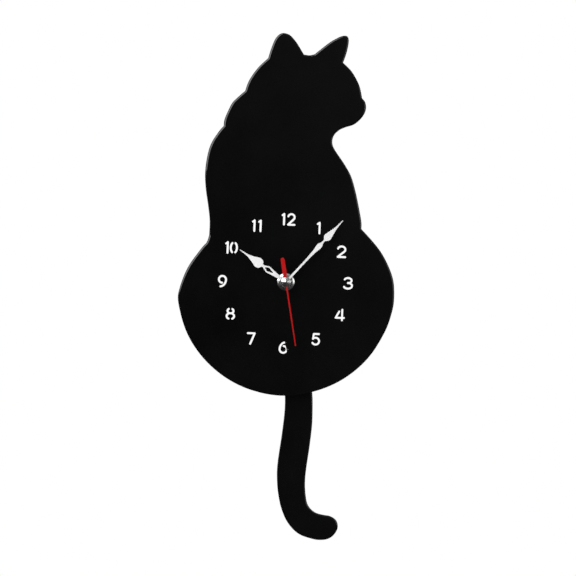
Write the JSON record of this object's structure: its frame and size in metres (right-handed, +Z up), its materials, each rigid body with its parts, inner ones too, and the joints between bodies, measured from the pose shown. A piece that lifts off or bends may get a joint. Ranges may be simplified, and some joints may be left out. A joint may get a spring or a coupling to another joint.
{
  "type": "cat tail wall clock",
  "caption": "Quartz wall clock in the shape of a sitting cat seen from behind, with cut-through numerals, three hands and a tail that swings as a pendulum.",
  "frame": {"origin": "the wall nail, where its axis meets the wall plane; the centre of the dial is 45 mm below it", "axes": "+Z up; the front of the clock faces -Y and y = 0 is the wall; +X is to the viewer's right"},
  "size_m": [0.1964, 0.0315, 0.4598],
  "materials": {
    "acrylic": "polished black cast acrylic with laser-cut edges",
    "case_plastic": "moulded black ABS, fine grain",
    "white_plastic": "moulded white acetal",
    "natural_plastic": "moulded natural acetal",
    "white_lacquer": "stamped aluminium, white lacquer",
    "red_lacquer": "stamped aluminium, red lacquer",
    "chrome": "bright chrome",
    "steel": "zinc-plated or bright steel",
    "nickel": "nickel plate",
    "ferrite": "sintered magnet",
    "brass": "turned brass",
    "copper": "enamelled copper wire",
    "cell_jacket": "printed sleeve, satin",
    "rubber": "matt black rubber",
    "foam": "double-sided foam tape",
    "board": "green solder mask",
    "epoxy": "black epoxy blob"
  },
  "bodies": {
    "clock": {"cat_panel": "acrylic", "wall_hanger": "steel", "threaded_bush": "brass", "rubber_washer": "rubber", "flat_washer": "chrome", "hex_nut": "chrome", "movement_case": "case_plastic", "back_cover": "case_plastic", "cover_screw_1": "steel", "cover_screw_2": "steel", "cover_screw_3": "steel", "train_plate": "natural_plastic", "stator_plate": "steel", "motor_core": "steel", "motor_bobbin": "natural_plastic", "motor_winding": "copper", "circuit_board": "board", "chip_blob": "epoxy", "crystal_can": "nickel", "positive_contact": "nickel", "negative_spring": "nickel", "pendulum_case": "case_plastic", "pendulum_cover": "case_plastic", "drive_bobbin": "natural_plastic", "drive_winding": "copper", "pivot_pin": "steel", "pivot_clip": "steel"},
    "seconds": {"seconds_wheel": "natural_plastic", "seconds_arbor": "steel", "second_hand": "red_lacquer", "second_collet": "steel", "second_cap": "chrome"},
    "minutes": {"centre_wheel": "natural_plastic", "minute_pipe": "brass", "minute_hand": "white_lacquer", "minute_collet": "brass", "minute_nut": "chrome"},
    "hours": {"hour_wheel": "white_plastic", "hour_hand": "white_lacquer", "hour_collet": "brass"},
    "third": {"third_wheel": "white_plastic", "third_arbor": "steel"},
    "motion": {"motion_wheel": "white_plastic", "motion_arbor": "steel"},
    "knob": {"setting_knob": "natural_plastic"},
    "intermediate": {"intermediate_wheel": "natural_plastic", "intermediate_arbor": "steel"},
    "rotor": {"rotor_pinion": "white_plastic", "rotor_magnet": "ferrite", "rotor_arbor": "steel"},
    "battery": {"battery_cell": "cell_jacket", "battery_nub": "nickel"},
    "tail": {"rocker_arm": "white_plastic", "drive_magnet": "nickel", "tail_strap": "white_plastic", "strap_rivet": "nickel", "tape_pad": "foam", "tail_panel": "acrylic"}
  },
  "joints": [
    {"name": "seconds_turn", "type": "hinge", "parent": "clock", "child": "seconds", "pos_m": [0, -0.0202, -0.045], "axis": [0, 1, 0], "continuous": true},
    {"name": "minutes_turn", "type": "hinge", "parent": "clock", "child": "minutes", "pos_m": [0, -0.0202, -0.045], "axis": [0, 1, 0], "continuous": true},
    {"name": "hours_turn", "type": "hinge", "parent": "clock", "child": "hours", "pos_m": [0, -0.0202, -0.045], "axis": [0, 1, 0], "continuous": true},
    {"name": "third_turn", "type": "hinge", "parent": "clock", "child": "third", "pos_m": [-0.0115, -0.009, -0.04919], "axis": [0, 1, 0], "continuous": true},
    {"name": "motion_turn", "type": "hinge", "parent": "clock", "child": "motion", "pos_m": [-0.0048, -0.0125, -0.05331], "axis": [0, 1, 0], "continuous": true},
    {"name": "knob_turn", "type": "hinge", "parent": "clock", "child": "knob", "pos_m": [-0.0096, -0.007, -0.06163], "axis": [0, 1, 0], "continuous": true},
    {"name": "intermediate_turn", "type": "hinge", "parent": "clock", "child": "intermediate", "pos_m": [0.01064, -0.005, -0.04688], "axis": [0, 1, 0], "continuous": true},
    {"name": "rotor_turn", "type": "hinge", "parent": "clock", "child": "rotor", "pos_m": [0.01599, -0.006, -0.05326], "axis": [0, 1, 0], "continuous": true},
    {"name": "battery_slide", "type": "slide", "parent": "clock", "child": "battery", "axis": [0, 1, 0], "range_m": [0, 0.02]},
    {"name": "tail_swing", "type": "hinge", "parent": "clock", "child": "tail", "pos_m": [0, -0.0094, -0.078], "axis": [0, -1, 0], "range_deg": [-20, 4]}
  ],
  "couplings": [
    {"joint": "minutes_turn", "follows": "seconds_turn", "ratio": 0.016667},
    {"joint": "hours_turn", "follows": "seconds_turn", "ratio": 0.0013889},
    {"joint": "third_turn", "follows": "seconds_turn", "ratio": -0.13333},
    {"joint": "motion_turn", "follows": "seconds_turn", "ratio": -0.0055556},
    {"joint": "knob_turn", "follows": "seconds_turn", "ratio": 0.016667},
    {"joint": "intermediate_turn", "follows": "seconds_turn", "ratio": -5},
    {"joint": "rotor_turn", "follows": "seconds_turn", "ratio": 30}
  ]
}
